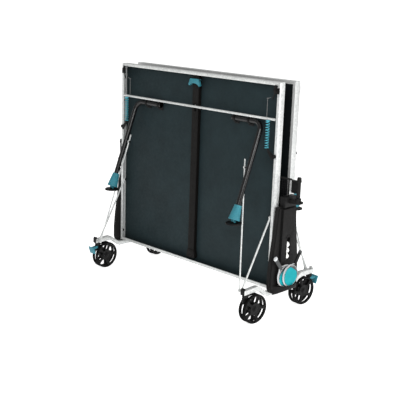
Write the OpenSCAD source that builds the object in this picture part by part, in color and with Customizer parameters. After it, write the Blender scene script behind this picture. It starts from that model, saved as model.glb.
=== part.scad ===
// Folding outdoor table tennis table on casters, standing folded for storage.
// Origin on the floor at the centre. X runs across the 1.525 m board width, the near half hangs
// at -Y and the far half at +Y. The far half is the near half turned half a turn about Z.

/* [Board halves] */
// Width of the playing surface
board_w = 1525; // [1500:5:1550]
// Length of one half of the playing surface
half_l = 1370; // [1350:5:1390]
// Height of a folded half's lower edge above the floor
edge_z = 192; // [190:1:200]
// Distance from the centre plane to a folded playing face
face_y = 52; // [50:1:56]
// Thickness of the laminate panel
panel_t = 5; // [4:1:6]
// Depth of the steel apron under the playing face
apron_d = 50; // [46:1:54]
// Width of the apron's folded lip
lip_w = 20; // [16:1:24]
// Steel sheet thickness
sheet_t = 1.5; // [1:0.5:2]
// Width of the centre brace
brace_w = 60; // [50:1:70]

/* [Fold] */
// Distance from a folded half's lower edge to its guide pin
pin_up = 70; // [68:1:72]
// Distance of the guide pin behind the playing face
pin_back = 30; // [28:1:32]
// Height of the playing face in play
play_h = 760; // [755:1:765]
// Diameter of the guide pins
pin_d = 12; // [10:1:14]
// Distance of the strut pivot above the guide pin
strut_up = 415; // [412:1:418]
// Diameter of the struts
strut_d = 12; // [10:1:13]
// Diameter of the leg control rods
rod_d = 10; // [8:1:11]
// Distance of the lower rod pivots from the centre plane
low_pivot_y = 345; // [342:1:346]
// Height of the lower rod pivots
low_pivot_z = 225; // [222:1:226]

/* [Legs] */
// Diameter of the leg tube
leg_d = 34; // [30:1:35]
// Distance of the leg tube from the middle of the board
leg_x = 612; // [605:1:615]
// Distance from the middle of the board to the inner end of a leg's axle
axle_x = 352; // [350:1:358]
// Bend radius of the leg tube
leg_bend = 60; // [50:1:70]
// Height of the leg axle in storage
leg_z = 1290; // [1288:1:1292]
// Distance of the leg axle behind the centre plane
leg_y = 80; // [79:1:81]
// Lean of a folded leg away from the board
leg_lean = 20.9; // [20:0.1:22]
// Distance from the leg axle to the joint of its pad
leg_l = 664; // [660:1:668]
// Distance from the leg axle to the control rod's pivot
rod_down = 310; // [306:1:314]
// Diameter of the foot pad
pad_d = 108; // [100:2:110]

/* [Release] */
// Height of the release bar in storage
bar_z = 1325; // [1322:1:1330]
// Distance of the release bar from the centre plane
bar_y = 105; // [104:1:107]
// Diameter of the release bar
bar_d = 16; // [14:1:18]
// Distance of the return springs from the middle of the board
spring_x = 690; // [685:1:694]
// Outer diameter of the return springs
spring_d = 28; // [26:1:30]
// Height of the lower end of the return springs
spring_z = 1137; // [1134:1:1140]

/* [Chassis] */
// Distance from the middle of the table to the middle of a side beam
beam_x = 757; // [756:1:758]
// Width of a side beam
beam_w = 32; // [30:1:34]
// Distance from the centre plane to the end of a side beam
beam_end = 362; // [360:1:366]
// Diameter of the cross tube
cross_d = 28; // [24:1:29]
// Distance of the inner wall of a side module from the middle of the table
module_x = 773; // [772:1:775]
// Thickness of a side module's body
module_w = 30; // [28:1:32]
// Height of the top of a side module
module_top = 756; // [754:1:758]

/* [Casters] */
// Wheel diameter
wheel_d = 200; // [198:1:202]
// Width of one wheel
wheel_w = 22; // [20:1:24]
// Gap between the two wheels of a caster
wheel_gap = 15; // [14:1:18]
// Distance from the centre plane to a caster stem
stem_y = 335; // [333:1:337]
// Distance from the stem to the wheel axle
trail = 70; // [68:1:72]
// Number of openings in a wheel
spokes = 5; // [4:1:6]

/* [Net] */
// Height of the top of the raised net
net_top = 942; // [938:1:946]
// Height of the net cloth
net_h = 152; // [150:1:154]
// Distance of the net posts from the middle of the table
post_x = 880; // [876:1:884]
// Diameter of the net posts
post_d = 26; // [24:1:28]

/* [Accessories] */
// Ball diameter
ball_d = 40; // [40:1:40]
// Bat blade width
blade_w = 152; // [150:1:154]
// Bat blade length
blade_l = 158; // [156:1:160]
// Bat thickness
blade_t = 13; // [12:1:14]
// Bat handle length
handle_l = 98; // [95:1:100]

/* [Hidden] */
$fn = 48;

slip = 0.05;                    // radial clearance of a running fit
cut = 1;                        // how far a cutting solid runs past the face it cuts
half_w = board_w / 2;
wall_x = half_w - sheet_t;      // inner face of the side apron's wall
back_y = face_y + panel_t;      // underside of the panel
lip_y = face_y + apron_d;       // outer face of the lips
top_z = edge_z + half_l;
pin_y = face_y + pin_back;
pin_z = edge_z + pin_up;
strut_y = pin_y + 11;
strut_z = pin_z + strut_up;
strut_x = 731;
low_rod_x = 713;
high_rod_x = 575;
brace_front = 85;
latch_x = 735;
latch_z = 1507;
latch_pin_d = 14;
latch_gap = 5;                  // from the lip to the back of the latch
grip_ear_x = 46;
return_d = 3.5;                 // depth of the lip's return flange
seam = 0.2;                     // gap that keeps neighbouring sheets separate
spring_y = 118;
wire_x = 668;
grip_pivot = [0, -92, 1512];
saddle_d = 40;
tube_end = 650;                 // along the leg, from its axle
cone_top = 560;
cone_low = 660;
joint_d = 26;                   // barrel of the foot joint
pad_t = 10;
pad_drop = 22;                  // from the barrel's centre to the pad's underside
beam_in = beam_x - beam_w / 2;
beam_out = beam_x + beam_w / 2;
module_out = module_x + module_w;
axle_z = wheel_d / 2;
plate_t = wheel_gap - 2;        // fork plate between the wheels
caster_axle_d = 12;
stem_d = 16;
pivot_d = 10;
pedal_pivot = [0, -12, 172];
pedal_pin_d = 6;
slab_x1 = module_x + 20;        // where the module's edge steps in
raised_x = 822;                 // outer face of the ball dispenser
ball_x = 806;
ball_low = 395;                 // height of the lowest ball's underside
pouch_r = 135.4;                // the pouch's lip is an arc of this radius
pouch_x = 872;                  // outermost point of the lip
pouch_floor_z = 212;
bat_z = 289;
net_end = 803;                  // distance from the middle to the end of the net cloth
arm_in = 826;                   // inner edge of the arm that holds the net's tape

// Side beam's outline in Y and Z, from the middle outwards
beam_top = [[134, 181], [215, 238], [228, 243], [250, 243], [beam_end, 238]];
beam_low = [[beam_end, 209], [244, 211], [206, 203], [134, 151]];

// Half width and height of a side module's outline above its rounded foot
module_side = [[147, 300], [138, 400], [112, 580], [93, module_top]];

galvanised = [0.80, 0.81, 0.80];
slate = [0.17, 0.22, 0.24];
charcoal = [0.17, 0.17, 0.18];
black = [0.10, 0.10, 0.10];
turquoise = [0.25, 0.62, 0.70];
white = [0.93, 0.93, 0.92];

// Swivel angle of each caster as it stands, turning about its stem
swivel = [["near", -1, 0], ["near", 1, -6], ["far", 1, -6], ["far", -1, 8]];

// ---- shared shapes ----

// Places its children at the far half's place
module far_half() { rotate([0, 0, 180]) children(); }

// Round bar from one point to another
module bar(from, to, d) {
    run = to - from;
    len = norm(run);
    translate(from) rotate([0, acos(run[2] / len), atan2(run[1], run[0])]) cylinder(h = len, d = d);
}

// Round bar along X from x0 to x1
module bar_x(x0, x1, d) { rotate([0, 90, 0]) translate([0, 0, x0]) cylinder(h = x1 - x0, d = d); }

// Box from its lowest to its highest corner
module box(low, high) { translate(low) cube(high - low); }

// The same thing at both sides, mirrored
module both_sides() { children(); mirror([1, 0, 0]) children(); }

// Outline drawn in Y and Z, given thickness along X from x0 to x1
module slab_x(x0, x1) { translate([x0, 0, 0]) rotate([90, 0, 90]) linear_extrude(x1 - x0) children(); }

// Points of an outline on the other side of the middle, in reverse
function mirrored(points) = [for (i = [len(points) - 1 : -1 : 0]) [-points[i][0], points[i][1]]];

// Points on an arc
function arc(cy, cz, r, a0, a1, n) = [for (i = [0 : n]) let (a = a0 + (a1 - a0) * i / n)
    [cy + r * cos(a), cz + r * sin(a)]];

// ---- board half, drawn at the near side ----

module panel_shape() {
    color(slate) box([-wall_x, -back_y, edge_z + sheet_t], [wall_x, -face_y, top_z - sheet_t]);
}

// Wall, lip and return of an apron, as an outline across its length
module apron_outline() {
    square([sheet_t, apron_d]);
    translate([-(lip_w - sheet_t), apron_d - sheet_t]) square([lip_w, sheet_t]);
    translate([-(lip_w - sheet_t), apron_d - return_d]) square([sheet_t, return_d]);
}

module side_aprons_shape() {
    pin_hole = pin_d + 2 * slip;
    color(galvanised) both_sides() difference() {
        translate([wall_x, -face_y, edge_z]) mirror([0, 1, 0]) linear_extrude(half_l) apron_outline();
        translate([0, -pin_y, pin_z]) bar_x(wall_x - cut, half_w + cut, pin_hole);
    }
}

module cross_aprons_shape() {
    lip_in = half_w - lip_w - seam;
    wall_end = wall_x - seam;
    color(galvanised) for (top = [0, 1]) translate([0, 0, top ? top_z : edge_z]) mirror([0, 0, top]) {
        box([-wall_end, -lip_y + return_d + seam, 0], [wall_end, -face_y, sheet_t]);
        box([-lip_in, -lip_y, 0], [lip_in, -lip_y + return_d + seam, sheet_t]);
        box([-lip_in, -lip_y, 0], [lip_in, -lip_y + sheet_t, lip_w]);
        box([-lip_in, -lip_y, lip_w - sheet_t], [lip_in, -lip_y + return_d, lip_w]);
    }
}

module aprons_shape() {
    side_aprons_shape();
    cross_aprons_shape();
}

module brace_shape() {
    low = edge_z + lip_w + 12;
    high = top_z - lip_w - 4;
    front = brace_front;
    foot_w = 78;
    foot_h = 62;
    wall = 2;
    color([0.19, 0.17, 0.16]) difference() {
        union() {
            box([-brace_w / 2, -front, low], [brace_w / 2, -back_y, high]);
            translate([0, -back_y, 0]) rotate([90, 0, 0]) linear_extrude(front - back_y + 4)
                polygon([[-foot_w / 2, low], [foot_w / 2, low], [foot_w / 2, low + 24],
                    [brace_w / 2, low + foot_h], [-brace_w / 2, low + foot_h], [-foot_w / 2, low + 24]]);
        }
        box([-brace_w / 2 + wall, -front + wall, low - cut],
            [brace_w / 2 - wall, -back_y + cut, high + cut]);
        // slot for the link between the grip and the release bar
        box([-7, -front - cut, bar_z - 34], [7, -front + wall + cut, bar_z + 14]);
    }
}

// Saddle that carries the leg axle on the panel
module leg_saddle(x) {
    saddle_w = 18;
    difference() {
        union() {
            box([x - saddle_w / 2, -leg_y, leg_z - 26], [x + saddle_w / 2, -back_y, leg_z + 26]);
            translate([0, -leg_y, leg_z]) bar_x(x - saddle_w / 2, x + saddle_w / 2, saddle_d);
            box([x - 22, -back_y - 3, leg_z - 38], [x + 22, -back_y, leg_z + 38]);
        }
        translate([0, -leg_y, leg_z]) bar_x(x - 23, x + 23, leg_d + 2 * slip);
    }
}

module brackets_shape() {
    arm_end = [half_w - 14, -lip_y - 5, 1088];
    spring_seat = [spring_x, -spring_y, spring_z - 5];
    color(charcoal) both_sides() {
        leg_saddle(axle_x + 22);
        leg_saddle(axle_x + 150);
        // spring seat and the arm that carries it from the side apron
        translate(spring_seat) cylinder(h = 5, d = spring_d + 4);
        bar(spring_seat + [0, 0, 2], arm_end, 9);
        translate(arm_end) rotate([90, 0, 0]) translate([0, 0, -5]) cylinder(h = 12, d = 24);
        // strut pivot stud on the side apron's wall
        translate([0, -strut_y, strut_z]) bar_x(strut_x - 9, wall_x, pivot_d);
        translate([0, -strut_y, strut_z]) bar_x(strut_x - 12, strut_x - 9, pivot_d + 6);
        // guide blocks for the release bar's ends
        box([half_w - lip_w + 2, -lip_y + 2, bar_z - 46], [wall_x, -lip_y + 12, bar_z - 34]);
        // corner plate and stud that carry the corner latch
        box([724, -lip_y - latch_gap + 1, 1488], [wall_x, -lip_y, 1526]);
        translate([latch_x, -lip_y, latch_z]) rotate([90, 0, 0]) cylinder(h = 16, d = latch_pin_d);
        translate([latch_x, -lip_y - 15, latch_z]) rotate([90, 0, 0]) cylinder(h = 2, d = latch_pin_d + 6);
        // ear that carries the grip's pivot
        difference() {
            box([grip_ear_x, -98, 1503], [grip_ear_x + 5, -brace_front, 1521]);
            translate(grip_pivot) bar_x(grip_ear_x - cut, grip_ear_x + 6, 8);
        }
    }
    color(charcoal) box([-grip_ear_x - 1, -brace_front - 1, 1503], [grip_ear_x + 1, -brace_front, 1521]);
}

module guide_blocks_shape() {
    block_w = 18;
    block_h = 40;
    head_d = 22;
    color(charcoal) both_sides() {
        box([module_x + 1, -pin_y - block_w / 2, pin_z - block_h / 2],
            [module_x + 17, -pin_y + block_w / 2, pin_z + block_h / 2]);
        translate([0, -pin_y, pin_z]) {
            bar_x(wall_x - 6, module_x + 2, pin_d);
            bar_x(wall_x - 6, wall_x - 0.4, head_d);
            bar_x(half_w + 0.4, half_w + 3, head_d);
        }
    }
}

module release_bar_shape() {
    wall = 1.5;
    bar_end = 738;
    wire_d = 4;
    corner_z = 1450;
    color(galvanised) difference() {
        translate([0, -bar_y, bar_z]) bar_x(-bar_end, bar_end, bar_d);
        translate([0, -bar_y, bar_z]) bar_x(-bar_end - cut, bar_end + cut, bar_d - 2 * wall);
    }
    // pull wire up from the bar, round a ferrule to the corner latch
    color(galvanised) both_sides() {
        translate([wire_x, -bar_y, bar_z + bar_d / 2])
            cylinder(h = corner_z - bar_z - bar_d / 2, d = wire_d);
        translate([wire_x, -bar_y - 4, corner_z + 4]) rotate([-90, 0, 0]) cylinder(h = 8, d = 8);
        bar([wire_x + 3, -bar_y, corner_z + 5], [694, -bar_y, corner_z + 12], wire_d);
    }
    // link to the grip, inside the brace
    color(galvanised) {
        box([-5, -bar_y + bar_d / 2, bar_z - 6], [5, -76, bar_z + 6]);
        box([-5, -76, bar_z - 6], [5, -70, 1462]);
    }
}

module springs_shape() {
    wire = 3;
    color(turquoise) both_sides() translate([spring_x, -spring_y, spring_z]) difference() {
        cylinder(h = bar_z - bar_d / 2 - 1 - spring_z, d = spring_d);
        translate([0, 0, -cut]) cylinder(h = 400, d = spring_d - 2 * wire);
    }
}

// Corner latch: a ring on its pivot and an arm that the pull wire swings
module latch_shape() {
    thick = 9;
    mid_y = -lip_y - latch_gap - thick / 2;
    ring = [latch_x, mid_y, latch_z];
    tip = [712, mid_y, 1452];
    color(black) difference() {
        union() {
            translate(ring + [0, thick / 2, 0]) rotate([90, 0, 0]) {
                cylinder(h = thick, d = 30);
                linear_extrude(thick) polygon([[-10, 0], [10, 0], [0, 40], [-10, 34]]);
            }
            bar(ring, tip, 8);
        }
        translate(ring) rotate([90, 0, 0]) translate([0, 0, -10])
            cylinder(h = 20, d = latch_pin_d + 2 * slip);
    }
}

// Trapezium grip with an arched finger recess in its lower edge
module grip_shape() {
    top = 1515;
    low = 1467;
    lean_w = [40, 55];
    color(turquoise) translate([0, -87, 0]) rotate([90, 0, 0]) linear_extrude(17) difference() {
        polygon([[-lean_w[0], top], [lean_w[0], top], [lean_w[1], low + 8], [lean_w[1] - 3, low],
            [-lean_w[1] + 3, low], [-lean_w[1], low + 8]]);
        translate([0, low - 48]) circle(r = 66);
    }
    color(turquoise) translate(grip_pivot) bar_x(-grip_ear_x - 5, grip_ear_x + 5, 8 - 2 * slip);
}

module leg_path(d, shorter) {
    arm_x = leg_x - leg_bend;
    bar_x(axle_x - cut * shorter, arm_x, d);
    translate([arm_x, 0, -leg_bend]) rotate([90, 0, 0]) rotate_extrude(angle = 90)
        translate([leg_bend, 0]) circle(d = d);
    translate([leg_x, 0, -tube_end + 3 * shorter]) cylinder(h = tube_end - leg_bend - 3 * shorter, d = d);
}

module legs_shape() {
    wall = 2;
    color(black) translate([0, -leg_y, leg_z]) rotate([-leg_lean, 0, 0]) both_sides() {
        difference() {
            leg_path(leg_d, 0);
            leg_path(leg_d - 2 * wall, 1);
        }
        // stud that carries the control rod
        translate([0, 0, -rod_down]) bar_x(high_rod_x - 8, leg_x - leg_d / 2 + 1, pivot_d);
        translate([0, 0, -rod_down]) bar_x(high_rod_x - 11, high_rod_x - 8, pivot_d + 6);
    }
}

// Screw-out foot: cone sleeve on the leg tube with the barrel of its pad's joint
module foot_shape() {
    color(turquoise) translate([0, -leg_y, leg_z]) rotate([-leg_lean, 0, 0]) translate([leg_x, 0, 0]) {
        difference() {
            translate([0, 0, -cone_low]) cylinder(h = cone_low - cone_top, d1 = 78, d2 = 46);
            translate([0, 0, -tube_end - 2]) cylinder(h = 200, d = leg_d + 2 * slip);
        }
        translate([0, 0, -leg_l]) bar_x(-13, 13, joint_d);
    }
}

// Pad that hangs level on the foot's barrel
module pad_shape() {
    joint_y = -leg_y - leg_l * sin(leg_lean);
    joint_z = leg_z - leg_l * cos(leg_lean);
    boss_h = 8;
    color(black) translate([leg_x, joint_y, joint_z]) difference() {
        union() {
            translate([0, 0, -pad_drop]) cylinder(h = pad_t, d1 = pad_d, d2 = pad_d - 8);
            translate([0, 0, pad_t - pad_drop]) cylinder(h = boss_h, d = 38);
        }
        bar_x(-20, 20, joint_d + 2 * slip);
    }
}

// Rod with a round eye at its upper pivot and a blunt foot at its lower one
module link(high, low, eye_t, d) {
    eye_d = 20;
    difference() {
        union() {
            bar(low, high, d);
            translate(high) bar_x(-eye_t / 2, eye_t / 2, eye_d);
        }
        translate(high) bar_x(-eye_t, eye_t, pivot_d + 2 * slip);
    }
    translate(low) bar_x(-eye_t / 2, eye_t / 2, eye_d);
}

module struts_shape() {
    color(galvanised) both_sides()
        link([strut_x, -strut_y, strut_z], [strut_x, -low_pivot_y, low_pivot_z], 12, strut_d);
}

module control_rods_shape() {
    rod_y = leg_y + rod_down * sin(leg_lean);
    rod_z = leg_z - rod_down * cos(leg_lean);
    low = [low_rod_x, -low_pivot_y, low_pivot_z];
    high = [high_rod_x, -rod_y, rod_z];
    tip = high + 55 * (high - low) / norm(high - low);
    color(galvanised) both_sides() {
        link(high, low, 10, rod_d);
        difference() {
            bar(high, tip, rod_d);
            translate(high) bar_x(-8, 8, pivot_d + 2 * slip);
        }
    }
}

module fasteners_shape() {
    head_h = 3;
    color(galvanised) {
        // screws through the brace's ends
        for (z = [edge_z + 46, top_z - 32], x = [-16, 16])
            translate([x, -brace_front - (z < 400 ? 4 : 0), z]) rotate([90, 0, 0])
                cylinder(h = head_h, d = 9);
        // screws of the leg saddles
        both_sides() for (x = [axle_x + 22, axle_x + 150], z = [leg_z - 32, leg_z + 32], s = [-15, 15])
            translate([x + s, -back_y - 3, z]) rotate([90, 0, 0]) cylinder(h = 2.5, d = 8);
        // rivets along the side lips
        both_sides() for (i = [0 : 3])
            translate([half_w - 10, -lip_y, edge_z + 140 + i * 360]) rotate([90, 0, 0])
                cylinder(h = 1.5, d = 7);
    }
}

// ---- chassis ----

module beam_outline() { polygon(concat(mirrored(beam_top), beam_top, beam_low, mirrored(beam_low))); }

module side_beam() {
    wall = 2.5;
    color(galvanised) difference() {
        union() {
            difference() {
                slab_x(beam_in, beam_out) beam_outline();
                translate([0, 0, -wall]) slab_x(beam_in + wall, beam_out - wall) difference() {
                    beam_outline();
                    for (s = [-1, 1]) translate([s * beam_end, 220]) square([2 * wall, 100], center = true);
                }
                translate([0, 0, -10]) slab_x(beam_in + wall, beam_out - wall) beam_outline();
            }
            for (s = [-1, 1]) translate([beam_x, s * stem_y, 207]) cylinder(h = 31, d = 26);
        }
        for (s = [-1, 1]) translate([beam_x, s * stem_y, 200]) cylinder(h = 32, d = stem_d + 2 * slip);
    }
}

module cross_tube() {
    wall = 2;
    color(galvanised) translate([0, 0, 166]) difference() {
        bar_x(-beam_in + seam, beam_in - seam, cross_d);
        bar_x(-beam_in - cut, beam_in + cut, cross_d - 2 * wall);
    }
}

module base_frame() {
    both_sides() side_beam();
    cross_tube();
}

module beam_end_caps() {
    color(black) both_sides() for (s = [-1, 1]) {
        cap_low = s > 0 ? beam_end : -beam_end - 4;
        box([beam_in, cap_low, 209], [beam_out, cap_low + 4, 247]);
        translate([0, s * (beam_end - 4), 247]) bar_x(beam_in + 3, beam_out - 3, 16);
    }
}

// Outline of a side module in Y and Z, shrunk by an inset
module module_outline(inset) {
    foot_r = 62;
    foot = arc(module_side[0][0] - foot_r, 165 + foot_r, foot_r - inset, -90, 0, 6);
    side = [for (p = module_side) [p[0] - inset, min(p[1], module_top - inset)]];
    half = concat(foot, side);
    polygon(concat(half, mirrored(half)));
}

// Bowl under the bats: an arc seen from above, sloping up to its lip
module pouch() {
    floor_z = pouch_floor_z;
    lip_z = 226;
    wall = 4;
    difference() {
        intersection() {
            rotate([90, 0, 0]) translate([0, 0, -pouch_r]) linear_extrude(2 * pouch_r)
                polygon([[module_out - cut, 165], [828, 176], [854, 192], [870, 208], [pouch_x, lip_z],
                    [module_out - cut, lip_z]]);
            translate([pouch_x - pouch_r, 0, 160]) cylinder(h = 100, r = pouch_r, $fn = 96);
        }
        intersection() {
            translate([pouch_x - pouch_r, 0, floor_z]) cylinder(h = 100, r = pouch_r - wall, $fn = 96);
            box([module_out, -pouch_r, floor_z], [pouch_x, pouch_r, lip_z + cut]);
        }
    }
}

// Side module, drawn at the right: guide slots inside, ball dispenser and bat pouch outside
module side_module() {
    slot_w = 18.6;
    channel_d = ball_d + 2;
    mouth_w = 36;
    color(charcoal) difference() {
        union() {
            slab_x(module_x, slab_x1) module_outline(0);
            slab_x(slab_x1, module_out) module_outline(10);
            slab_x(module_out, raised_x) polygon([[-70, 385], [70, 385], [66, 742], [-66, 742]]);
            pouch();
        }
        // guide slots for the two halves
        for (s = [-1, 1]) box([module_x - cut, s * pin_y - slot_w / 2, pin_z - 24],
            [module_x + 18.3, s * pin_y + slot_w / 2, module_top - 3]);
        // shallow recess between the slots
        box([module_x - cut, -60, 240], [module_x + 9, 60, module_top - 16]);
        // ball channel and its mouth
        translate([ball_x, 0, ball_low]) cylinder(h = 153, d = channel_d);
        box([ball_x, -mouth_w / 2, ball_low + 4], [raised_x + cut, mouth_w / 2, ball_low + 150]);
    }
}

// ---- net ----

module net_brackets() {
    block_top = 824;
    arm_top = 806;
    collar_top = 820;
    color(black) both_sides() {
        difference() {
            union() {
                box([module_x + 6, -58, module_top], [raised_x, 58, block_top]);
                box([raised_x, -20, 782], [post_x, 20, arm_top]);
                translate([post_x, 0, 782]) cylinder(h = collar_top - 782, d = 40);
            }
            translate([post_x, 0, 782 - cut]) cylinder(h = 60, d = post_d + 2 * slip);
            box([module_x, -4, module_top - cut], [net_end + 5, 4, block_top + cut]);
        }
        translate([0, 0, 797]) bar_x(post_x + 17, post_x + 35, 20);
    }
}

module net_uprights() {
    color(black) both_sides() {
        translate([post_x, 0, 802]) cylinder(h = net_top - 808, d = post_d);
        translate([post_x, 0, net_top - 12]) cylinder(h = 30, d1 = post_d + 8, d2 = post_d);
        box([arm_in, -9, 852], [post_x, 9, net_top - 6]);
    }
}

// Net cloth with its tape, which runs on to the arms of the posts
module net() {
    cloth_t = 3;
    tape_h = 12;
    color(black) {
        box([-net_end, -cloth_t / 2, net_top - net_h], [net_end, cloth_t / 2, net_top]);
        box([-arm_in, -cloth_t / 2, net_top - tape_h], [arm_in, cloth_t / 2, net_top]);
    }
}

// ---- accessories in the right module ----

// Bat standing in a plane across X: blade at the origin, handle towards +Z
module bat(blade_color) {
    ply = 6;
    handle_w = 29;
    handle_t = 22;
    color(blade_color) rotate([0, 90, 0]) translate([0, 0, -blade_t / 2]) {
        cylinder(h = blade_t, d = blade_w);
        translate([-blade_l / 2, -blade_w / 4, 0]) cube([blade_l / 4, blade_w / 2, ply]);
    }
    color(blade_color) translate([0, 0, blade_l / 2 - 6]) {
        slab_x(-handle_t / 2, handle_t / 2) polygon([[-handle_w / 2, 0], [handle_w / 2, 0],
            [handle_w / 2 - 2, handle_l * 0.6], [handle_w / 2 + 2, handle_l + 6],
            [-handle_w / 2 - 2, handle_l + 6], [-handle_w / 2 + 2, handle_l * 0.6]]);
    }
}

module bat_front() { translate([850, 2, bat_z]) rotate([-33, 0, 0]) bat(turquoise); }

module bat_rear() { translate([832, -30, bat_z]) rotate([38, 0, 0]) bat(turquoise); }

module balls() {
    color(white) for (i = [0 : 2])
        translate([ball_x, 0, ball_low + ball_d / 2 + i * ball_d]) sphere(d = ball_d);
}

// ---- casters ----

// Places its children at a caster: side_y is -1 near and 1 far, side_x is -1 left and 1 right.
// A caster is drawn with its stem on the Z axis and its axle towards +Y.
module at_caster(side_y, side_x) {
    turn = [for (s = swivel) if (s[0] == (side_y < 0 ? "near" : "far") && s[1] == side_x) s[2]][0];
    translate([side_x * beam_x, side_y * stem_y, 0])
        rotate([0, 0, turn + (side_y > 0 ? 180 : 0)]) children();
}

module caster_fork() {
    collar_top = 206.6;
    stem_top = 230;
    axle_end = wheel_gap / 2 + wheel_w + 1;
    color(black) difference() {
        union() {
            slab_x(-plate_t / 2, plate_t / 2) polygon([[-24, 189], [18, 189], [96, 122], [96, 78],
                [44, 78], [-24, 158]]);
            translate([0, trail, axle_z]) bar_x(-plate_t / 2, plate_t / 2, 76);
            translate([0, trail, axle_z]) bar_x(-axle_end, axle_end, caster_axle_d);
            for (s = [-1, 1]) translate([s * (axle_end + 1.4), trail, axle_z]) bar_x(-1.5, 1.5, 24);
            translate([0, 0, 189]) cylinder(h = collar_top - 189, d = 42);
            translate([0, 0, 180]) cylinder(h = stem_top - 180, d = stem_d);
        }
        translate(pedal_pivot) bar_x(-10, 10, pedal_pin_d + 2 * slip);
    }
}

// One wheel about the X axis at the origin, from x = 0 to x = wheel_w
module wheel() {
    rim_r = wheel_d / 2;
    tread = 3;
    win_low = 41;
    win_high = 87;
    half_angle = 180 / spokes - 7;
    phase = 20;
    color(black) rotate([0, 90, 0]) difference() {
        rotate_extrude($fn = 96) polygon([[caster_axle_d / 2 + slip, 0], [rim_r - tread, 0], [rim_r, tread],
            [rim_r, wheel_w - tread], [rim_r - tread, wheel_w], [caster_axle_d / 2 + slip, wheel_w]]);
        for (i = [0 : spokes - 1]) rotate([0, 0, phase + i * 360 / spokes]) translate([0, 0, -cut])
            linear_extrude(wheel_w + 2 * cut) intersection() {
                difference() { circle(r = win_high, $fn = 96); circle(r = win_low); }
                polygon([[0, 0], for (a = [-half_angle, 0, half_angle]) 120 * [cos(a), sin(a)]]);
            }
    }
}

module wheel_at(side_y, side_x, side) {
    inner = wheel_gap / 2;
    at_caster(side_y, side_x) translate([side > 0 ? inner : -inner - wheel_w, trail, axle_z]) wheel();
}

module brake_pedal() {
    color(turquoise) {
        for (s = [-1, 1]) slab_x(s > 0 ? 7 : -11, s > 0 ? 11 : -7)
            polygon([[-6, 168], [-6, 180], [-20, 182], [-61, 178], [-59, 162], [-20, 164]]);
        translate(pedal_pivot) bar_x(-13, 13, pedal_pin_d);
        slab_x(-30, 30) polygon([[-57, 180], [-66, 184], [-65, 174], [-49, 128], [-43, 130]]);
    }
}

// ---- nodes ----

base_frame();
beam_end_caps();
far_half() side_module();  // module_left
side_module();  // module_right
net_brackets();
net_uprights();
net();
bat_front();
bat_rear();
balls();
at_caster(-1, -1) caster_fork();  // caster_fork_near_left
at_caster(-1, 1) caster_fork();  // caster_fork_near_right
at_caster(1, -1) caster_fork();  // caster_fork_far_left
at_caster(1, 1) caster_fork();  // caster_fork_far_right
wheel_at(-1, -1, -1);  // wheel_near_left_outer
wheel_at(-1, -1, 1);  // wheel_near_left_inner
wheel_at(-1, 1, 1);  // wheel_near_right_outer
wheel_at(-1, 1, -1);  // wheel_near_right_inner
wheel_at(1, -1, 1);  // wheel_far_left_outer
wheel_at(1, -1, -1);  // wheel_far_left_inner
wheel_at(1, 1, -1);  // wheel_far_right_outer
wheel_at(1, 1, 1);  // wheel_far_right_inner
at_caster(-1, -1) brake_pedal();  // brake_pedal_near_left
at_caster(1, 1) brake_pedal();  // brake_pedal_far_right
panel_shape();  // near_panel
aprons_shape();  // near_aprons
brace_shape();  // near_brace
brackets_shape();  // near_brackets
guide_blocks_shape();  // near_guide_blocks
release_bar_shape();  // near_release_bar
springs_shape();  // near_springs
mirror([1, 0, 0]) latch_shape();  // near_latch_left
latch_shape();  // near_latch_right
grip_shape();  // near_grip
legs_shape();  // near_legs
mirror([1, 0, 0]) foot_shape();  // near_foot_left
foot_shape();  // near_foot_right
mirror([1, 0, 0]) pad_shape();  // near_pad_left
pad_shape();  // near_pad_right
struts_shape();  // near_struts
control_rods_shape();  // near_control_rods
fasteners_shape();  // near_fasteners
far_half() panel_shape();  // far_panel
far_half() aprons_shape();  // far_aprons
far_half() brace_shape();  // far_brace
far_half() brackets_shape();  // far_brackets
far_half() guide_blocks_shape();  // far_guide_blocks
far_half() release_bar_shape();  // far_release_bar
far_half() springs_shape();  // far_springs
far_half() latch_shape();  // far_latch_left
far_half() mirror([1, 0, 0]) latch_shape();  // far_latch_right
far_half() grip_shape();  // far_grip
far_half() legs_shape();  // far_legs
far_half() foot_shape();  // far_foot_left
far_half() mirror([1, 0, 0]) foot_shape();  // far_foot_right
far_half() pad_shape();  // far_pad_left
far_half() mirror([1, 0, 0]) pad_shape();  // far_pad_right
far_half() struts_shape();  // far_struts
far_half() control_rods_shape();  // far_control_rods
far_half() fasteners_shape();  // far_fasteners
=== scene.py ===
"""Looks of a folding table tennis table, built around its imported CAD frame.

X runs across the boards, Y from the near half to the far half and Z is up. Pieces are drawn at the
near half or the right side and copied to the others with a half turn or a mirror.
"""
import math

import bmesh
import bpy
from mathutils import Matrix, Vector


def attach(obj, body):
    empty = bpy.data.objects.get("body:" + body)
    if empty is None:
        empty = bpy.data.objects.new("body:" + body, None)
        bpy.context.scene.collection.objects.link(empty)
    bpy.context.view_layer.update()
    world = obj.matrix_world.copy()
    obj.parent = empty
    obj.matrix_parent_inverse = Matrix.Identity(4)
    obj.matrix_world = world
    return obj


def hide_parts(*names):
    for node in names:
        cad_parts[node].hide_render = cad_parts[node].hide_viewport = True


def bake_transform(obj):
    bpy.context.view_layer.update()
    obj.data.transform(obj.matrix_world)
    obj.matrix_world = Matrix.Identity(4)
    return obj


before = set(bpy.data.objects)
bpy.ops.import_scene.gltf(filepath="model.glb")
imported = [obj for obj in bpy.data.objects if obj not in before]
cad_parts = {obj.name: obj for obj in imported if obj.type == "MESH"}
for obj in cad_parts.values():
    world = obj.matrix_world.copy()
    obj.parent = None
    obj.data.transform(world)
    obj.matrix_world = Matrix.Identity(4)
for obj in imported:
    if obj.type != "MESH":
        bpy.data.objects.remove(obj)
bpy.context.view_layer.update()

MM = 0.001
SOFT_ANGLE = 32
HALF_TURN = Matrix.Rotation(math.pi, 4, "Z")
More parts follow.
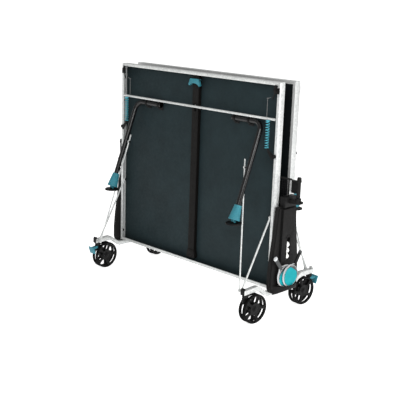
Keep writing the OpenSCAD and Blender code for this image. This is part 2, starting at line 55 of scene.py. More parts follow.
MIRROR_X = Matrix.Scale(-1, 4, (1, 0, 0))
# each half's name, its turn from the near half, and the sides its -X and +X ends come to lie on
HALVES = (("near", Matrix(), "left", "right"), ("far", HALF_TURN, "right", "left"))


# ---- camera, light and floor ----

def add_camera():
    """The camera stands in front of the right end and looks slightly down."""
    place = Vector((4.179, -4.309, 2.112))
    yaw, pitch, roll = (math.radians(a) for a in (44.16, 13.79, 1.93))
    look = Vector((-math.sin(yaw) * math.cos(pitch), math.cos(yaw) * math.cos(pitch), -math.sin(pitch)))
    right = Vector((math.cos(yaw), math.sin(yaw), 0))
    up = right.cross(look)
    across = right * math.cos(roll) + up * math.sin(roll)
    above = up * math.cos(roll) - right * math.sin(roll)
    turn = Matrix((across, above, -look)).transposed().to_4x4()
    data = bpy.data.cameras.new("camera")
    data.sensor_width = 36
    data.lens = 77.04
    data.clip_end = 4000
    camera = bpy.data.objects.new("camera", data)
    camera.matrix_world = Matrix.Translation(place) @ turn
    bpy.context.scene.collection.objects.link(camera)
    bpy.context.scene.camera = camera


def add_area(name, place, target, size, watts):
    """A soft rectangular lamp that points at a target."""
    data = bpy.data.lights.new(name, "AREA")
    data.shape = "RECTANGLE"
    data.size, data.size_y = size
    data.energy = watts
    light = bpy.data.objects.new(name, data)
    light.location = place
    light.rotation_euler = (Vector(target) - Vector(place)).to_track_quat("-Z", "Y").to_euler()
    bpy.context.scene.collection.objects.link(light)


def add_stage():
    """Plain pale floor and soft studio light from the front, the right and above."""
    bpy.ops.mesh.primitive_plane_add(size=3000)
    floor = bpy.context.object
    floor.name = "floor"
    paint = bpy.data.materials.new("floor_paint")
    paint.use_nodes = True
    shader = paint.node_tree.nodes["Principled BSDF"]
    shader.inputs["Base Color"].default_value = (0.92, 0.92, 0.92, 1)
    shader.inputs["Roughness"].default_value = 0.9
    shader.inputs["Emission Color"].default_value = (1, 1, 1, 1)
    shader.inputs["Emission Strength"].default_value = 0.8
    floor.data.materials.append(paint)
    world = bpy.data.worlds.new("studio")
    world.use_nodes = True
    backdrop = world.node_tree.nodes["Background"]
    backdrop.inputs["Color"].default_value = (1, 1, 1, 1)
    # the backdrop is seen white but lights the table with less than that
    seen = world.node_tree.nodes.new("ShaderNodeLightPath")
    spread = world.node_tree.nodes.new("ShaderNodeMapRange")
    spread.inputs["To Min"].default_value = 0.45
    spread.inputs["To Max"].default_value = 1.0
    world.node_tree.links.new(seen.outputs["Is Camera Ray"], spread.inputs["Value"])
    world.node_tree.links.new(spread.outputs["Result"], backdrop.inputs["Strength"])
    bpy.context.scene.world = world
    bpy.context.scene.view_settings.view_transform = "Standard"
    add_area("key", (4.6, -4.2, 4.0), (0.3, 0, 0.8), (3.2, 2.4), 160)
    add_area("side", (6.2, 0.8, 2.8), (0.4, 0, 0.8), (2.2, 2.6), 150)
    add_area("top", (-1.0, -1.2, 5.2), (0, 0, 0.8), (4, 3), 25)


add_camera()
add_stage()


# ---- materials ----

class Paint:
    """A node material: a principled shader with helpers for procedural colour, gloss and relief."""

    def __init__(self, name, rough, metal=0.0, specular=0.4, coat=0.0):
        self.material = bpy.data.materials.new(name)
        self.material.use_nodes = True
        self.tree = self.material.node_tree
        self.shader = self.tree.nodes["Principled BSDF"]
        self.shader.inputs["Roughness"].default_value = rough
        self.shader.inputs["Metallic"].default_value = metal
        self.shader.inputs["Specular IOR Level"].default_value = specular
        self.shader.inputs["Coat Weight"].default_value = coat
        self.place = self.tree.nodes.new("ShaderNodeTexCoord").outputs["Object"]

    def node(self, kind):
        return self.tree.nodes.new(kind)

    def join(self, output, target):
        self.tree.links.new(output, target)

    def noise(self, scale, detail=4.0):
        noise = self.node("ShaderNodeTexNoise")
        noise.inputs["Scale"].default_value = scale
        noise.inputs["Detail"].default_value = detail
        self.join(self.place, noise.inputs["Vector"])
        return noise.outputs["Fac"]

    def cells(self, scale):
        """One random grey for each cell, as on galvanised steel."""
        cells = self.node("ShaderNodeTexVoronoi")
        cells.inputs["Scale"].default_value = scale
        self.join(self.place, cells.inputs["Vector"])
        grey = self.node("ShaderNodeSeparateColor")
        self.join(cells.outputs["Color"], grey.inputs["Color"])
        return grey.outputs["Red"]

    def colour(self, value, low, high, start=0.3, end=0.7):
        """Base colour that runs from low to high while the value runs from start to end."""
        ramp = self.node("ShaderNodeValToRGB")
        ramp.color_ramp.elements[0].position = start
        ramp.color_ramp.elements[1].position = end
        ramp.color_ramp.elements[0].color = (*low, 1)
        ramp.color_ramp.elements[1].color = (*high, 1)
        self.join(value, ramp.inputs["Fac"])
        self.join(ramp.outputs["Color"], self.shader.inputs["Base Color"])

    def gloss(self, value, low, high):
        """Roughness that varies from low to high."""
        spread = self.node("ShaderNodeMapRange")
        spread.inputs["From Min"].default_value = 0.3
        spread.inputs["From Max"].default_value = 0.7
        spread.inputs["To Min"].default_value = low
        spread.inputs["To Max"].default_value = high
        self.join(value, spread.inputs["Value"])
        self.join(spread.outputs["Result"], self.shader.inputs["Roughness"])

    def relief(self, value, strength, depth=0.0004):
        """Bump with its depth in metres."""
        bump = self.node("ShaderNodeBump")
        bump.inputs["Strength"].default_value = strength
        bump.inputs["Distance"].default_value = depth
        self.join(value, bump.inputs["Height"])
        self.join(bump.outputs["Normal"], self.shader.inputs["Normal"])


def shade(base, factor):
    """A colour made darker or lighter."""
    return tuple(min(1.0, c * factor) for c in base)


def galvanised(name, bright):
    """Zinc coated steel with small spangles."""
    paint = Paint(name, 0.42, metal=0.35)
    spangle = paint.cells(90)
    low, high = shade((0.52, 0.535, 0.53), bright), shade((0.68, 0.69, 0.68), bright)
    paint.colour(spangle, low, high, 0.0, 1.0)
    paint.gloss(paint.noise(35), 0.34, 0.52)
    paint.relief(paint.noise(420, 3), 0.12)
    return paint.material


def moulded(name, base, rough, grain=900, specular=0.25):
    """Moulded plastic with a fine spark-eroded grain and faint flow marks."""
    paint = Paint(name, rough, specular=specular)
    paint.colour(paint.noise(14), shade(base, 0.86), shade(base, 1.12))
    paint.gloss(paint.noise(60), rough - 0.07, rough + 0.09)
    paint.relief(paint.noise(grain, 2), 0.35, 0.00025)
    return paint.material


def powder_coat(name, base, rough, specular=0.4, coat=0.0, peel=0.22):
    """Powder coated steel with a slight orange peel."""
    paint = Paint(name, rough, specular=specular, coat=coat)
    paint.colour(paint.noise(9), shade(base, 0.85), shade(base, 1.15))
    paint.gloss(paint.noise(50), rough - 0.06, rough + 0.08)
    paint.relief(paint.noise(260, 2), peel, 0.0003)
    return paint.material


SILVER = galvanised("galvanised", 1.0)
WIRE = galvanised("wire_steel", 0.25)
SLATE = powder_coat("slate", (0.011, 0.021, 0.024), 0.62, 0.16)
# the playing face is darker than the slate: partly its own blue-black colour, partly painted shade for the
# shadowed gap between the halves
TOP_SLATE = powder_coat("playing_face_partly_painted_shade", (0.004, 0.006, 0.007), 0.7, 0.1)
BRACE = powder_coat("brace_paint", (0.005, 0.0045, 0.004), 0.6, 0.15)
BLACK = moulded("black_nylon", (0.003, 0.003, 0.0031), 0.55, specular=0.2)
CHARCOAL = moulded("charcoal", (0.0095, 0.0092, 0.0092), 0.68, specular=0.14)
# near-black stand-in for painted shade, used for the hood over the ball slot and the groove sheets on the
# modules
SHADOW = moulded("painted_shade_black", (0.0015, 0.0015, 0.0015), 0.85)
LEG_PAINT = powder_coat("black_paint", (0.003, 0.003, 0.0032), 0.2, 0.45, peel=0.03)
TURQUOISE = moulded("turquoise", (0.035, 0.20, 0.25), 0.45)
SPRING = powder_coat("spring_paint", (0.09, 0.46, 0.56), 0.4)
RUBBER = moulded("wheel_black", (0.0015, 0.0015, 0.0015), 0.75, specular=0.12)
CORD = moulded("net_cord", (0.012, 0.012, 0.012), 0.8)
BALL = moulded("ball_white", (0.86, 0.86, 0.84), 0.4)
BAT_FACE = moulded("bat_face", (0.006, 0.295, 0.33), 0.55, grain=1400, specular=0.12)
BAT_EDGE = moulded("bat_edge", (0.62, 0.64, 0.65), 0.45)
BAT_GREY = moulded("bat_grey", (0.055, 0.058, 0.06), 0.5)
# the white lines are given a mid grey: painted shade for the gap they lie in
LINE = powder_coat("white_line_painted_shade", (0.45, 0.455, 0.45), 0.5, coat=0.1)


# ---- mesh helpers, in millimetres ----

def mesh_of(shape):
    """Turns a bmesh drawn in millimetres into a mesh in metres."""
    bmesh.ops.scale(shape, vec=(MM, MM, MM), verts=shape.verts)
    bmesh.ops.recalc_face_normals(shape, faces=shape.faces)
    mesh = bpy.data.meshes.new("shape")
    shape.to_mesh(mesh)
    shape.free()
    return mesh


def baked(piece):
    """Applies a piece's modifiers, or turns its curve into a mesh."""
    bpy.context.view_layer.update()
    graph = bpy.context.evaluated_depsgraph_get()
    mesh = bpy.data.meshes.new_from_object(piece.evaluated_get(graph))
    bpy.data.objects.remove(piece)
    return mesh


def lathe(profile, turn, sides=48):
    """Spins a closed outline of (radius, height) points about Z."""
    shape = bmesh.new()
    rings = []
    for i in range(sides):
        a = 2 * math.pi * i / sides
        rings.append([shape.verts.new((r * math.cos(a), r * math.sin(a), z)) for r, z in profile])
    count = len(profile)
    for i in range(sides):
        here, there = rings[i], rings[(i + 1) % sides]
        for j in range(count):
            k = (j + 1) % count
            shape.faces.new((here[j], there[j], there[k], here[k]))
    bmesh.ops.remove_doubles(shape, verts=shape.verts, dist=1e-4)
    bmesh.ops.transform(shape, matrix=turn, verts=shape.verts)
    return mesh_of(shape)


def sweep(path, radius, sides, closed=False):
    """Round bar along a list of points. The radius is one number or one for each point."""
    points = [Vector(p) for p in path]
    radii = radius if isinstance(radius, (list, tuple)) else [radius] * len(points)
    shape = bmesh.new()
    rings = []
    count = len(points)
    normal = None
    for i, point in enumerate(points):
        before = points[i - 1] if i or closed else point
        after = points[(i + 1) % count] if i < count - 1 or closed else point
        along = (after - before).normalized()
        if normal is None:
            normal = along.orthogonal().normalized()
        normal = (normal - along * normal.dot(along)).normalized()
        side = along.cross(normal)
        turns = (2 * math.pi * k / sides for k in range(sides))
        rings.append([shape.verts.new(point + radii[i] * (normal * math.cos(a) + side * math.sin(a)))
                      for a in turns])
    for i in range(count if closed else count - 1):
        here, there = rings[i], rings[(i + 1) % count]
        for k in range(sides):
            shape.faces.new((here[k], here[(k + 1) % sides], there[(k + 1) % sides], there[k]))
    if not closed:
        shape.faces.new(reversed(rings[0]))
        shape.faces.new(rings[-1])
    return mesh_of(shape)


def bent(points, radius, steps):
    """A path through the points whose inner corners are rounded to a radius."""
    points = [Vector(p) for p in points]
    path = [points[0]]
    for before, corner, after in zip(points, points[1:], points[2:]):
        back, on = (before - corner).normalized(), (after - corner).normalized()
        half = back.angle(on) / 2
        reach = radius / math.tan(half)
        middle = corner + (back + on).normalized() * (radius / math.sin(half))
        start, end = corner + back * reach - middle, corner + on * reach - middle
        turn = start.angle(end)
        for i in range(steps + 1):
            t = i / steps
            along = start * math.sin((1 - t) * turn) + end * math.sin(t * turn)
            path.append(middle + along / math.sin(turn))
    return path + [points[-1]]


def plate(outline, thick, edge, turn):
    """Flat plate in X and Y between z = 0 and z = thick with rounded edges, moved to its place."""
    curve = bpy.data.curves.new("plate", "CURVE")
    curve.dimensions = "2D"
    curve.fill_mode = "BOTH"
    spline = curve.splines.new("POLY")
    spline.points.add(len(outline) - 1)
    for point, (x, y) in zip(spline.points, outline):
        point.co = (x * MM, y * MM, 0, 1)
    spline.use_cyclic_u = True
    curve.extrude = (thick / 2 - edge) * MM
    curve.bevel_depth = edge * MM
    curve.bevel_resolution = 2
    curve.offset = -edge * MM
    piece = bpy.data.objects.new("plate", curve)
    bpy.context.scene.collection.objects.link(piece)
    mesh = baked(piece)
    mesh.transform(Matrix.Translation((0, 0, thick / 2 * MM)))
    place = turn.copy()
    place.translation = place.translation * MM
    mesh.transform(place)
    return mesh


def circle(radius, sides=60, start=0.0, end=360.0):
    """Points round a circle, or along an arc that stops short of a full turn."""
    whole = abs(end - start) >= 360
    steps = sides if whole else sides + 1
    angles = [math.radians(start + (end - start) * i / sides) for i in range(steps)]
    return [(radius * math.cos(a), radius * math.sin(a)) for a in angles]


def rounded(corners, radii):
    """An outline whose corners are rounded, each to its own radius."""
    steps = 5
    loop = []
    for i, corner in enumerate(corners):
        before, after = Vector(corners[i - 1]), Vector(corners[(i + 1) % len(corners)])
        corner = Vector(corner)
        back, on = (before - corner).normalized(), (after - corner).normalized()
        half = back.angle(on) / 2
        reach = radii[i] / math.tan(half)
        start, end = corner + back * reach, corner + on * reach
        for k in range(steps + 1):
            t = k / steps
            loop.append(tuple(start.lerp(corner, t).lerp(corner.lerp(end, t), t)))
    return loop


def block(low, high):
    """Plain box from its lowest to its highest corner."""
    shape = bmesh.new()
    bmesh.ops.create_cube(shape, size=1)
    size = [h - l for l, h in zip(low, high)]
    middle = [(h + l) / 2 for l, h in zip(low, high)]
    bmesh.ops.scale(shape, vec=size, verts=shape.verts)
    bmesh.ops.translate(shape, vec=middle, verts=shape.verts)
    return mesh_of(shape)


def wafer(corners, push):
    """Thin closed solid between an outline and its copy moved by a vector."""
    shape = bmesh.new()
    rings = [[shape.verts.new(Vector(corner) + Vector(push) * k) for corner in corners] for k in (0, 1)]
    count = len(corners)
    for ring in rings:
        shape.faces.new(ring)
    for i in range(count):
        k = (i + 1) % count
        shape.faces.new((rings[0][i], rings[0][k], rings[1][k], rings[1][i]))
    return mesh_of(shape)


def softened(mesh, width, segments=2):
    """Rounds the edges of a mesh where its faces meet at more than SOFT_ANGLE."""
    piece = bpy.data.objects.new("soften", mesh)
    bpy.context.scene.collection.objects.link(piece)
    bevel = piece.modifiers.new("edge", "BEVEL")
    bevel.width = width * MM
    bevel.segments = segments
    bevel.limit_method = "ANGLE"
    bevel.angle_limit = math.radians(SOFT_ANGLE)
    bevel.use_clamp_overlap = True
    return baked(piece)


def cad_mesh(node, width, segments):
    """A copy of a CAD node's mesh with its flat faces joined and its edges rounded."""
    shape = bmesh.new()
    shape.from_mesh(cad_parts[node].data)
    bmesh.ops.remove_doubles(shape, verts=shape.verts, dist=1e-5)
    bmesh.ops.dissolve_limit(shape, angle_limit=math.radians(1.5), verts=shape.verts, edges=shape.edges)
    mesh = bpy.data.meshes.new(node)
    shape.to_mesh(mesh)
    shape.free()
    return softened(mesh, width, segments)


# stands a flat outline up: its X runs along Y, its Y along Z and its thickness along X
UPRIGHT = Matrix(((0, 0, 1, 0), (1, 0, 0, 0), (0, 1, 0, 0), (0, 0, 0, 1)))


def at_x(place=(0, 0, 0)):
    """Turns a lathe or a plate's axis from Z to X and moves it to a place."""
    return Matrix.Translation(place) @ Matrix.Rotation(math.pi / 2, 4, "Y")


def at_y(place):
    """Turns a lathe or a plate's axis from Z to -Y and moves it to a place."""
    return Matrix.Translation(place) @ Matrix.Rotation(math.pi / 2, 4, "X")


def joined(name, parts, smooth=35):
    """One piece from (mesh, material) pairs, smooth except at sharp edges."""
    looks = []
    shape = bmesh.new()
    for mesh, look in parts:
        if look not in looks:
            looks.append(look)
        before = len(shape.faces)
        shape.from_mesh(mesh)
        shape.faces.ensure_lookup_table()
        for face in shape.faces[before:]:
            face.material_index = looks.index(look)
            face.smooth = True
    mesh = bpy.data.meshes.new(name)
    shape.to_mesh(mesh)
    shape.free()
    mesh.set_sharp_from_angle(angle=math.radians(smooth))
    piece = bpy.data.objects.new(name, mesh)
    bpy.context.scene.collection.objects.link(piece)
    for look in looks:
        mesh.materials.append(look)
    return piece


def moved(mesh, matrix):
    """A copy of a mesh at another place; a mirror keeps its faces outwards."""
    copy = mesh.copy()
    place = matrix.copy()
    place.translation = place.translation * MM
    copy.transform(place)
    if place.determinant() < 0:
        copy.flip_normals()
    return copy


def stand_for(piece, body, node):
    """The piece rides on a body and stands for a CAD node, which is hidden."""
    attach(piece, body)
    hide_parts(node)
    return piece


def as_built(node, body, look, width, segments=2, extra=()):
    """A CAD node's own form with rounded edges, and any further (mesh, material) details on it."""
    piece = joined(node + "_piece", [(cad_mesh(node, width, segments), look), *extra])
    return stand_for(piece, body, node)


def relook(piece, look, chosen):
    """Gives another material to the faces of a piece whose centres are chosen."""
    piece.data.materials.append(look)
    for face in piece.data.polygons:
        if chosen(face.center):
            face.material_index = len(piece.data.materials) - 1


# ---- boards ----

LEG_AXLE = (0, -80, 1290)
LEG_LEAN = math.radians(20.9)
LEG_X, LEG_LENGTH = 612, 664


def at_leg(turn):
    """The legs' own frame: X along their axle and -Z down the tubes."""
    return turn @ Matrix.Translation(LEG_AXLE) @ Matrix.Rotation(-LEG_LEAN, 4, "X")


def board(half, turn):
    """Panel with white border lines and a centre line on its playing face; the lines are drawn mid grey as
    painted shade, and the face is darkened partly as painted shade.
    """
    side, low, high = 760.8, 193.7, 1560.3
    face_y, back_y, band, centre = 52.0, 57.0, 18, 1.5
    root, proud = -face_y - 0.1, 0.25 - face_y
    panel = softened(block((-side, -back_y, low), (side, -face_y, high)), 0.5)
    face = block((-side + band, root, low), (side - band, -face_y + 0.1, high - band))
    lines = [block((-side, root, low), (-side + band, proud, high)),
             block((side - band, root, low), (side, proud, high)),
             block((-side + band, root, high - band), (side - band, proud, high)),
             block((-centre, root, low), (centre, proud, high - band))]
    parts = [(panel, SLATE), (face, TOP_SLATE)] + [(line, LINE) for line in lines]
    piece = joined(half + "_board", [(moved(mesh, turn), look) for mesh, look in parts])
    stand_for(piece, half + "_top", half + "_panel")


def fasteners(half, turn):
    """Black socket screws on the brace and the leg saddles, and rivets on the side aprons."""
    parts = []

    def screw(x, y, z, radius):
        head = [(0, -0.2), (radius + 0.6, -0.2), (radius + 0.6, 0.6), (radius, 0.9), (radius, 2.1),
                (radius - 0.8, 2.8), (radius * 0.55, 2.8), (radius * 0.5, 1.2), (0, 1.2)]
        parts.append((lathe(head, turn @ at_y((x, y, z)), 24), BLACK))

    for brace_z, brace_y in ((238, -89), (1530, -85)):
        for x in (-16, 16):
            screw(x, brace_y, brace_z, 4.4)
    rivet = [(0, 0), (3.4, 0), (3.1, 0.7), (1.8, 1.25), (0, 1.4)]
    for sign in (-1, 1):
        for saddle_x in (374, 502):
            for z in (1258, 1322):
                for step in (-15, 15):
                    screw(sign * (saddle_x + step), -60, z, 3.8)
        for i in range(4):
            apron = (sign * 752.5, -102, 332 + i * 360)
            parts.append((lathe(rivet, turn @ at_y(apron), 20), SILVER))
    stand_for(joined(half + "_screws", parts), half + "_top", half + "_fasteners")


def springs(half, turn):
    """Two open coil springs between their seats and the release bar."""
    low, high = 1137.0, 1315.5
    across, out = 690, -118
    coil, wire, turns, steps = 12.1, 1.88, 12, 20
    count = turns * steps
    parts = []
    for sign in (-1, 1):
        path = []
        for i in range(count + 1):
            t = i / count
            # the end turns lie flat on their seats
            rise = 1.9 + (high - low - 3.8) * min(1, max(0, (t - 0.07) / 0.86))
            angle = 2 * math.pi * turns * t
            path.append((sign * across + coil * math.cos(angle), out + coil * math.sin(angle), low + rise))
        parts.append((moved(sweep(path, wire, 8), turn), SPRING))
    piece = joined(half + "_coils", parts, 80)
    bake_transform(piece)
    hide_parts(half + "_springs")


def foot(half, turn, side, sign):
    """Ribbed screw-out cone on the leg tube, and the round pad that turns on its barrel."""
    tube = at_leg(turn) @ Matrix.Translation((sign * LEG_X, 0, 0))
    cone = [(17.1, -652), (4, -653), (4, -660), (36.5, -660), (38.8, -657.5), (38.2, -651), (36.6, -649.5),
            (36.2, -642), (35.0, -640.5)]
    for i in range(6):
        z = -636 + i * 11
        r = 34.6 - i * 1.72
        cone += [(r, z), (r + 0.9, z + 2), (r + 0.6, z + 6), (r - 0.9, z + 7.5)]
    cone += [(24.2, -568), (24.8, -566), (24.6, -561.5), (23.2, -560), (17.1, -560)]
    barrel = [(0, 0), (11.8, 0), (13, 1.2), (13, 24.8), (11.8, 26), (0, 26)]
    parts = [(lathe(cone, tube), TURQUOISE),
             (lathe(barrel, tube @ at_x((-13, 0, -LEG_LENGTH))), TURQUOISE)]
    name = "%s_foot_%s" % (half, side)
    stand_for(joined(name + "_cone", parts), "%s_foot_body_%s" % (half, side), name)
    middle = Vector((sign * LEG_X, LEG_AXLE[1] - LEG_LENGTH * math.sin(LEG_LEAN),
                     LEG_AXLE[2] - LEG_LENGTH * math.cos(LEG_LEAN)))
    pad = turn @ Matrix.Translation(middle)
    rim = [(0, -22), (47, -22), (48, -20.5), (51, -20.5), (52, -22), (53.6, -21.3), (53.9, -19.5),
           (52.4, -14.5), (50.4, -12.6), (46, -12.2), (44, -13.2), (32, -13.2), (30, -12.3),
           (14.6, -12), (13.9, -13.4), (0, -13.4)]
    cheek = [(6, -12.2), (16.5, -12.2), (16.5, -5.5), (15.5, -4.3), (12.9, -4.3), (11.5, -7), (9, -10)]
    other = [(-y, z) for y, z in reversed(cheek)]
    cheeks = [plate(outline, 18, 0.5, pad @ UPRIGHT @ Matrix.Translation((0, 0, -9)))
              for outline in (cheek, other)]
    name = "%s_pad_%s" % (half, side)
    piece = joined(name + "_disc", [(mesh, BLACK) for mesh in [lathe(rim, pad), *cheeks]])
    stand_for(piece, "%s_pad_body_%s" % (half, side), name)


def legs(half, turn):
    """Two bent steel tubes with plugged ends, and the studs that carry the control rods."""
    leg = at_leg(turn)
    radius, bend, end, low = 17, 60, 352, -650
    stud_z, stud_end, head_start = -310, 567, 564
    parts = []
    for sign in (-1, 1):
        path = bent([(sign * end, 0, 0), (sign * LEG_X, 0, 0), (sign * LEG_X, 0, low)], bend, 16)
        parts.append((moved(sweep(path, radius - 0.05, 40), leg), LEG_PAINT))
        plug = [(0, 0), (radius - 1, 0), (radius - 1, -0.4), (radius - 3, -1.4), (0, -1.4)]
        parts.append((lathe([(r, -sign * z) for r, z in plug], leg @ at_x((sign * end, 0, 0)), 32), BLACK))
        start, stop = sorted((sign * (LEG_X - radius + 1), sign * stud_end))
        pin = [(0, start), (4.6, start), (5, start + 0.5), (5, stop - 0.5), (4.6, stop), (0, stop)]
        parts.append((lathe(pin, leg @ at_x((0, 0, stud_z)), 24), BLACK))
        head = [(0, 0), (7, 0), (8, 0.8), (8, 2.2), (7, 3), (0, 3)]
        start = head_start if sign > 0 else -stud_end
        parts.append((lathe(head, leg @ at_x((start, 0, stud_z)), 24), BLACK))
    name = half + "_legs"
    stand_for(joined(name + "_piece", parts), half + "_leg_frame", name)


def gussets(turn):
    """Plates that stiffen the arms under the springs."""
    outline = rounded([(0, 0), (49, -44), (49, -62), (40, -66), (6, -22)], [2, 4, 4, 4, 6])
    gusset = plate(outline, 5, 1.0, at_y((692, -111.5, 1131)))
    return [(moved(mesh, turn), BLACK) for mesh in (moved(gusset, MIRROR_X), gusset)]


for half, turn, left, right in HALVES:
    board(half, turn)
    legs(half, turn)
    fasteners(half, turn)
    springs(half, turn)
    for side, sign in ((left, -1), (right, 1)):
        foot(half, turn, side, sign)
        as_built("%s_latch_%s" % (half, side), "%s_hook_%s" % (half, side), BLACK, 1.2)
    top = half + "_top"
    as_built(half + "_aprons", top, SILVER, 0.5)
    as_built(half + "_brace", top, BRACE, 1.2)
    as_built(half + "_brackets", top, BLACK, 1.0, extra=gussets(turn))
    as_built(half + "_guide_blocks", half + "_carriage", CHARCOAL, 0.8)
    release = as_built(half + "_release_bar", half + "_release", SILVER, 0.5)
    # the pull wires above the bar's ends are darker than the bar
    relook(release, WIRE, lambda place: place.z > 1.334 and abs(place.x) > 0.5)
    as_built(half + "_grip", half + "_grip_lever", TURQUOISE, 2.2, 3)
    as_built(half + "_struts", half + "_strut_pair", SILVER, 0.8)
    as_built(half + "_control_rods", half + "_rod_pair", SILVER, 0.8)


# ---- chassis, modules and net ----

def module_details(sign):
    """Ball slot frame with a hood coloured as painted shade, screws, and thin near-black sheets that paint
    the shade of a groove down each edge of a side module.
    """
    face, slot, hood_radius = 822.0, 18.5, 27
    parts = []
    sill = [(-slot, 399), (slot, 399)]
    arch = [(slot * math.cos(math.radians(a)), 530 + slot * math.sin(math.radians(a)))
            for a in range(0, 181, 15)]
    path = [(face + 0.2, y, z) for y, z in sill + arch]
    parts.append((sweep(path, 1.3, 8, closed=True), CHARCOAL))
    # the hood is drawn in near-black as painted shade over the ball slot
    hood = [(face - 1.2, hood_radius * math.cos(math.radians(a)),
             536 + hood_radius * math.sin(math.radians(a))) for a in range(0, 181, 12)]
    parts.append((sweep(hood, [1.2] + [3.2] * (len(hood) - 2) + [1.2], 10), SHADOW))
    screw = [(0, -1), (4.6, -1), (4.6, 0.4), (3.9, 1.0), (2.1, 1.0), (1.9, -0.2), (0, -0.2)]
    for y, z in ((-58, 404), (58, 404), (-54, 722), (54, 722)):
        parts.append((lathe(screw, at_x((face - 0.6, y, z)), 20), BLACK))
    # thin near-black sheets on the step walls: painted shade that draws the groove
    for side in (-1, 1):
        wall = [(803.4, side * 70.2, 386), (821.2, side * 70.2, 386), (821.2, side * 66.2, 741),
                (803.4, side * 66.2, 741)]
        parts.append((wafer(wall, (0, -side * 0.6, 0)), SHADOW))
    if sign < 0:
        parts = [(moved(mesh, MIRROR_X), look) for mesh, look in parts]
    return parts


for side, sign in (("left", -1), ("right", 1)):
    as_built("module_" + side, "chassis", CHARCOAL, 2.0, 3, module_details(sign))
as_built("base_frame", "chassis", SILVER, 0.9)
end_caps = as_built("beam_end_caps", "chassis", BLACK, 1.2)
# the caps at the far ends are given the galvanised finish as a painted highlight, where they catch more
# light than the black near caps
relook(end_caps, SILVER, lambda place: place.y > 0)
as_built("net_brackets", "chassis", BLACK, 2.0, 3)
as_built("net_uprights", "net_frame", BLACK, 1.4)


def net():
    """Crossed cords between a woven top tape and side bands, laced to the posts."""
    low, high, end = 790.0, 930.0, 803.0
    tape_end, post = 825, 829
    columns, rows = 107, 9
    cords = []
    for i in range(columns):
        x = -end + 1 + (2 * end - 2) * i / (columns - 1)
        cords.append((sweep([(x, 0, low + 1), (x, 0, high)], 1.0, 4), CORD))
    for i in range(rows):
        z = low + 1.2 + (high - low) * i / rows
        cords.append((sweep([(-end + 1, 0, z), (end - 1, 0, z)], 1.0, 4), CORD))
    mesh = joined("net_mesh_piece", cords, 30)
    tape = softened(block((-tape_end, -1.5, high), (tape_end, 1.5, 942)), 0.7)
    bands = [softened(block((x - 5, -1.3, low), (x + 5, 1.3, high)), 0.5) for x in (-end + 5, end - 5)]
    seams = [sweep([(1 - tape_end, y, z), (tape_end - 1, y, z)], 0.25, 5)
             for y in (1.5, -1.5) for z in (932.5, 939.5)]
    lacing = [sweep([(sign * (end - 1), 0, z), (sign * post, 0, z)], 1.2, 6)
              for z in range(856, 930, 4) for sign in (-1, 1)]
    edging = joined("net_tape", [(cord, CORD) for cord in [tape, *bands, *seams, *lacing]])
    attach(mesh, "net_frame")
    stand_for(edging, "net_frame", "net")


net()


# ---- bats and balls ----

def bat(node, place, tilt, grip_look, end_look):
    """Moulded bat: turquoise faces inside a pale edge ring, a grey shoulder and a flared handle."""
    at = Matrix.Translation(place) @ Matrix.Rotation(math.radians(tilt), 4, "X") @ UPRIGHT

    def layer(outline, thick, edge):
        return plate(outline, thick, edge, at @ Matrix.Translation((0, 0, -thick / 2)))

    def blade(radius, half_neck):
        gap = math.degrees(math.asin(half_neck / radius)) + 12
        return circle(radius, start=90 + gap, end=450 - gap) + [(half_neck, 84), (-half_neck, 84)]

    parts = [(layer(blade(76, 14), 11, 2.4), BAT_EDGE),
             (layer(blade(73.4, 12), 13, 1.0), BAT_GREY),
             (layer(circle(71.6), 13.6, 0.6), BAT_EDGE),
             (layer(circle(70), 13.9, 0.5), BAT_GREY)]
    face = circle(67, start=160, end=380) + [(44, 44), (28, 50), (-28, 50), (-44, 44)]
    parts.append((layer(face, 14.3, 0.5), BAT_FACE))
    for radius in (58, 64):
        for depth in (-6.9, 6.9):
            arc = [(x, y + 8, depth) for x, y in circle(radius, 24, 52, 128)]
            parts.append((moved(sweep(arc, 0.7, 6), at), BAT_EDGE))
    path = [(0, y, 0) for y in (70, 76, 90, 115, 140, 160, 168)]
    shape = at @ Matrix.Diagonal((1.24, 1, 0.83, 1))
    parts.append((moved(sweep(path, [9, 11, 11.4, 10.8, 10.9, 11.7, 12.2], 24), shape), grip_look))
    cap = [(0, y, 0) for y in (167, 169, 177, 181, 182.5)]
    parts.append((moved(sweep(cap, [12.2, 12.9, 13, 11.4, 8], 24), shape), end_look))
    stand_for(joined(node + "_piece", parts, 40), "chassis", node)


bat("bat_front", (850, 2, 289), -33, BLACK, BAT_GREY)
bat("bat_rear", (832, -30, 289), 38, BAT_GREY, BAT_EDGE)


def balls():
    """Three balls in the right module's slot, each with a fine moulding seam."""
    radius, seam = 19.9, 0.12
    profile = [(radius * math.cos(math.radians(a)) - (seam if a == 0 else 0),
                radius * math.sin(math.radians(a))) for a in range(-90, 91, 5)]
    parts = []
    for i in range(3):
        middle = (806, 0, 415 + 40 * i)
        roll = Matrix.Rotation(math.radians(35 + 50 * i), 4, "Y")
        parts.append((lathe(profile, Matrix.Translation(middle) @ roll), BALL))
    stand_for(joined("balls_piece", parts, 60), "chassis", "balls")


balls()


# ---- casters ----

# each caster's swivel in degrees, as the folded table stands in the photograph
SWIVELS = {("near", "left"): 0, ("near", "right"): -6, ("far", "right"): -6, ("far", "left"): 8}
STEM_X, STEM_Y = 757, 335
TRAIL, AXLE_Z = 70, 100
WHEEL_WIDTH, FORK_HALF = 22, 7.5


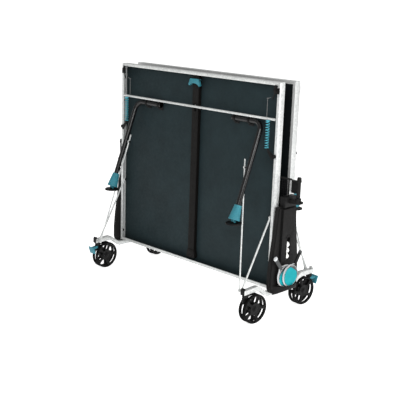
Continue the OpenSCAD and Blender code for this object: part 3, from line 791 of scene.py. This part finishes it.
def wheel(name, at):
    """One wheel, from x = 0 outwards: grooved tread, rim, five ribbed spokes and a stepped hub."""
    tread = [(90, 0.8), (95.6, 0.3), (98, 1.2), (99.6, 3.8), (99.8, 6.6), (98.6, 7.2), (98.6, 8.2),
             (99.8, 8.8), (99.8, 13.2), (98.6, 13.8), (98.6, 14.8), (99.8, 15.4), (99.6, 18.2), (98, 20.8),
             (95.6, 21.7), (90, 21.2)]
    rim = [(86.6, 3), (87.2, 2), (91, 1.4), (91, 20.6), (87.2, 20), (86.6, 19)]
    hub = [(6.1, 0.2), (17, 0.2), (19, 1.6), (20, 4.2), (34, 4.6), (38.4, 2.2), (41.4, 2.4), (42, 3.6),
           (42, 18.4), (41.4, 19.6), (38.4, 19.8), (34, 17.4), (20, 17.8), (19, 20.4), (17, 21.8),
           (6.1, 21.8)]
    parts = [(lathe(tread, at @ at_x(), 96), RUBBER), (lathe(rim, at @ at_x(), 72), BLACK),
             (lathe(hub, at @ at_x(), 60), BLACK)]
    spoke = [(39, -8.5), (60, -7.6), (88, -15), (88, 15), (60, 7.6), (39, 8.5)]
    outline = rounded(spoke, [1, 14, 1, 1, 14, 1])
    rib = softened(block((40, -1.6, 1.8), (88, 1.6, 20.2)), 0.6)
    for i in range(5):
        spin = at @ Matrix.Rotation(math.radians(-(56 + 72 * i)), 4, "X") @ at_x()
        parts.append((plate(outline, 14, 1.2, spin @ Matrix.Translation((0, 0, 4))), BLACK))
        parts.append((moved(rib, spin), BLACK))
    stand_for(joined(name + "_piece", parts), name, name)


for (half, side), swing in SWIVELS.items():
    corner = "%s_%s" % (half, side)
    across = -1 if side == "left" else 1
    along = -1 if half == "near" else 1
    swivel = math.radians(swing + (180 if half == "far" else 0))
    stem = Matrix.Translation((across * STEM_X, along * STEM_Y, 0)) @ Matrix.Rotation(swivel, 4, "Z")
    as_built("caster_fork_" + corner, "caster_" + corner, BLACK, 1.6)
    for which, away in (("outer", 1), ("inner", -1)):
        start = FORK_HALF if across * along * away < 0 else -FORK_HALF - WHEEL_WIDTH
        wheel("wheel_%s_%s" % (corner, which), stem @ Matrix.Translation((start, TRAIL, AXLE_Z)))
for corner in ("near_left", "far_right"):
    as_built("brake_pedal_" + corner, "pedal_" + corner, TURQUOISE, 1.2)
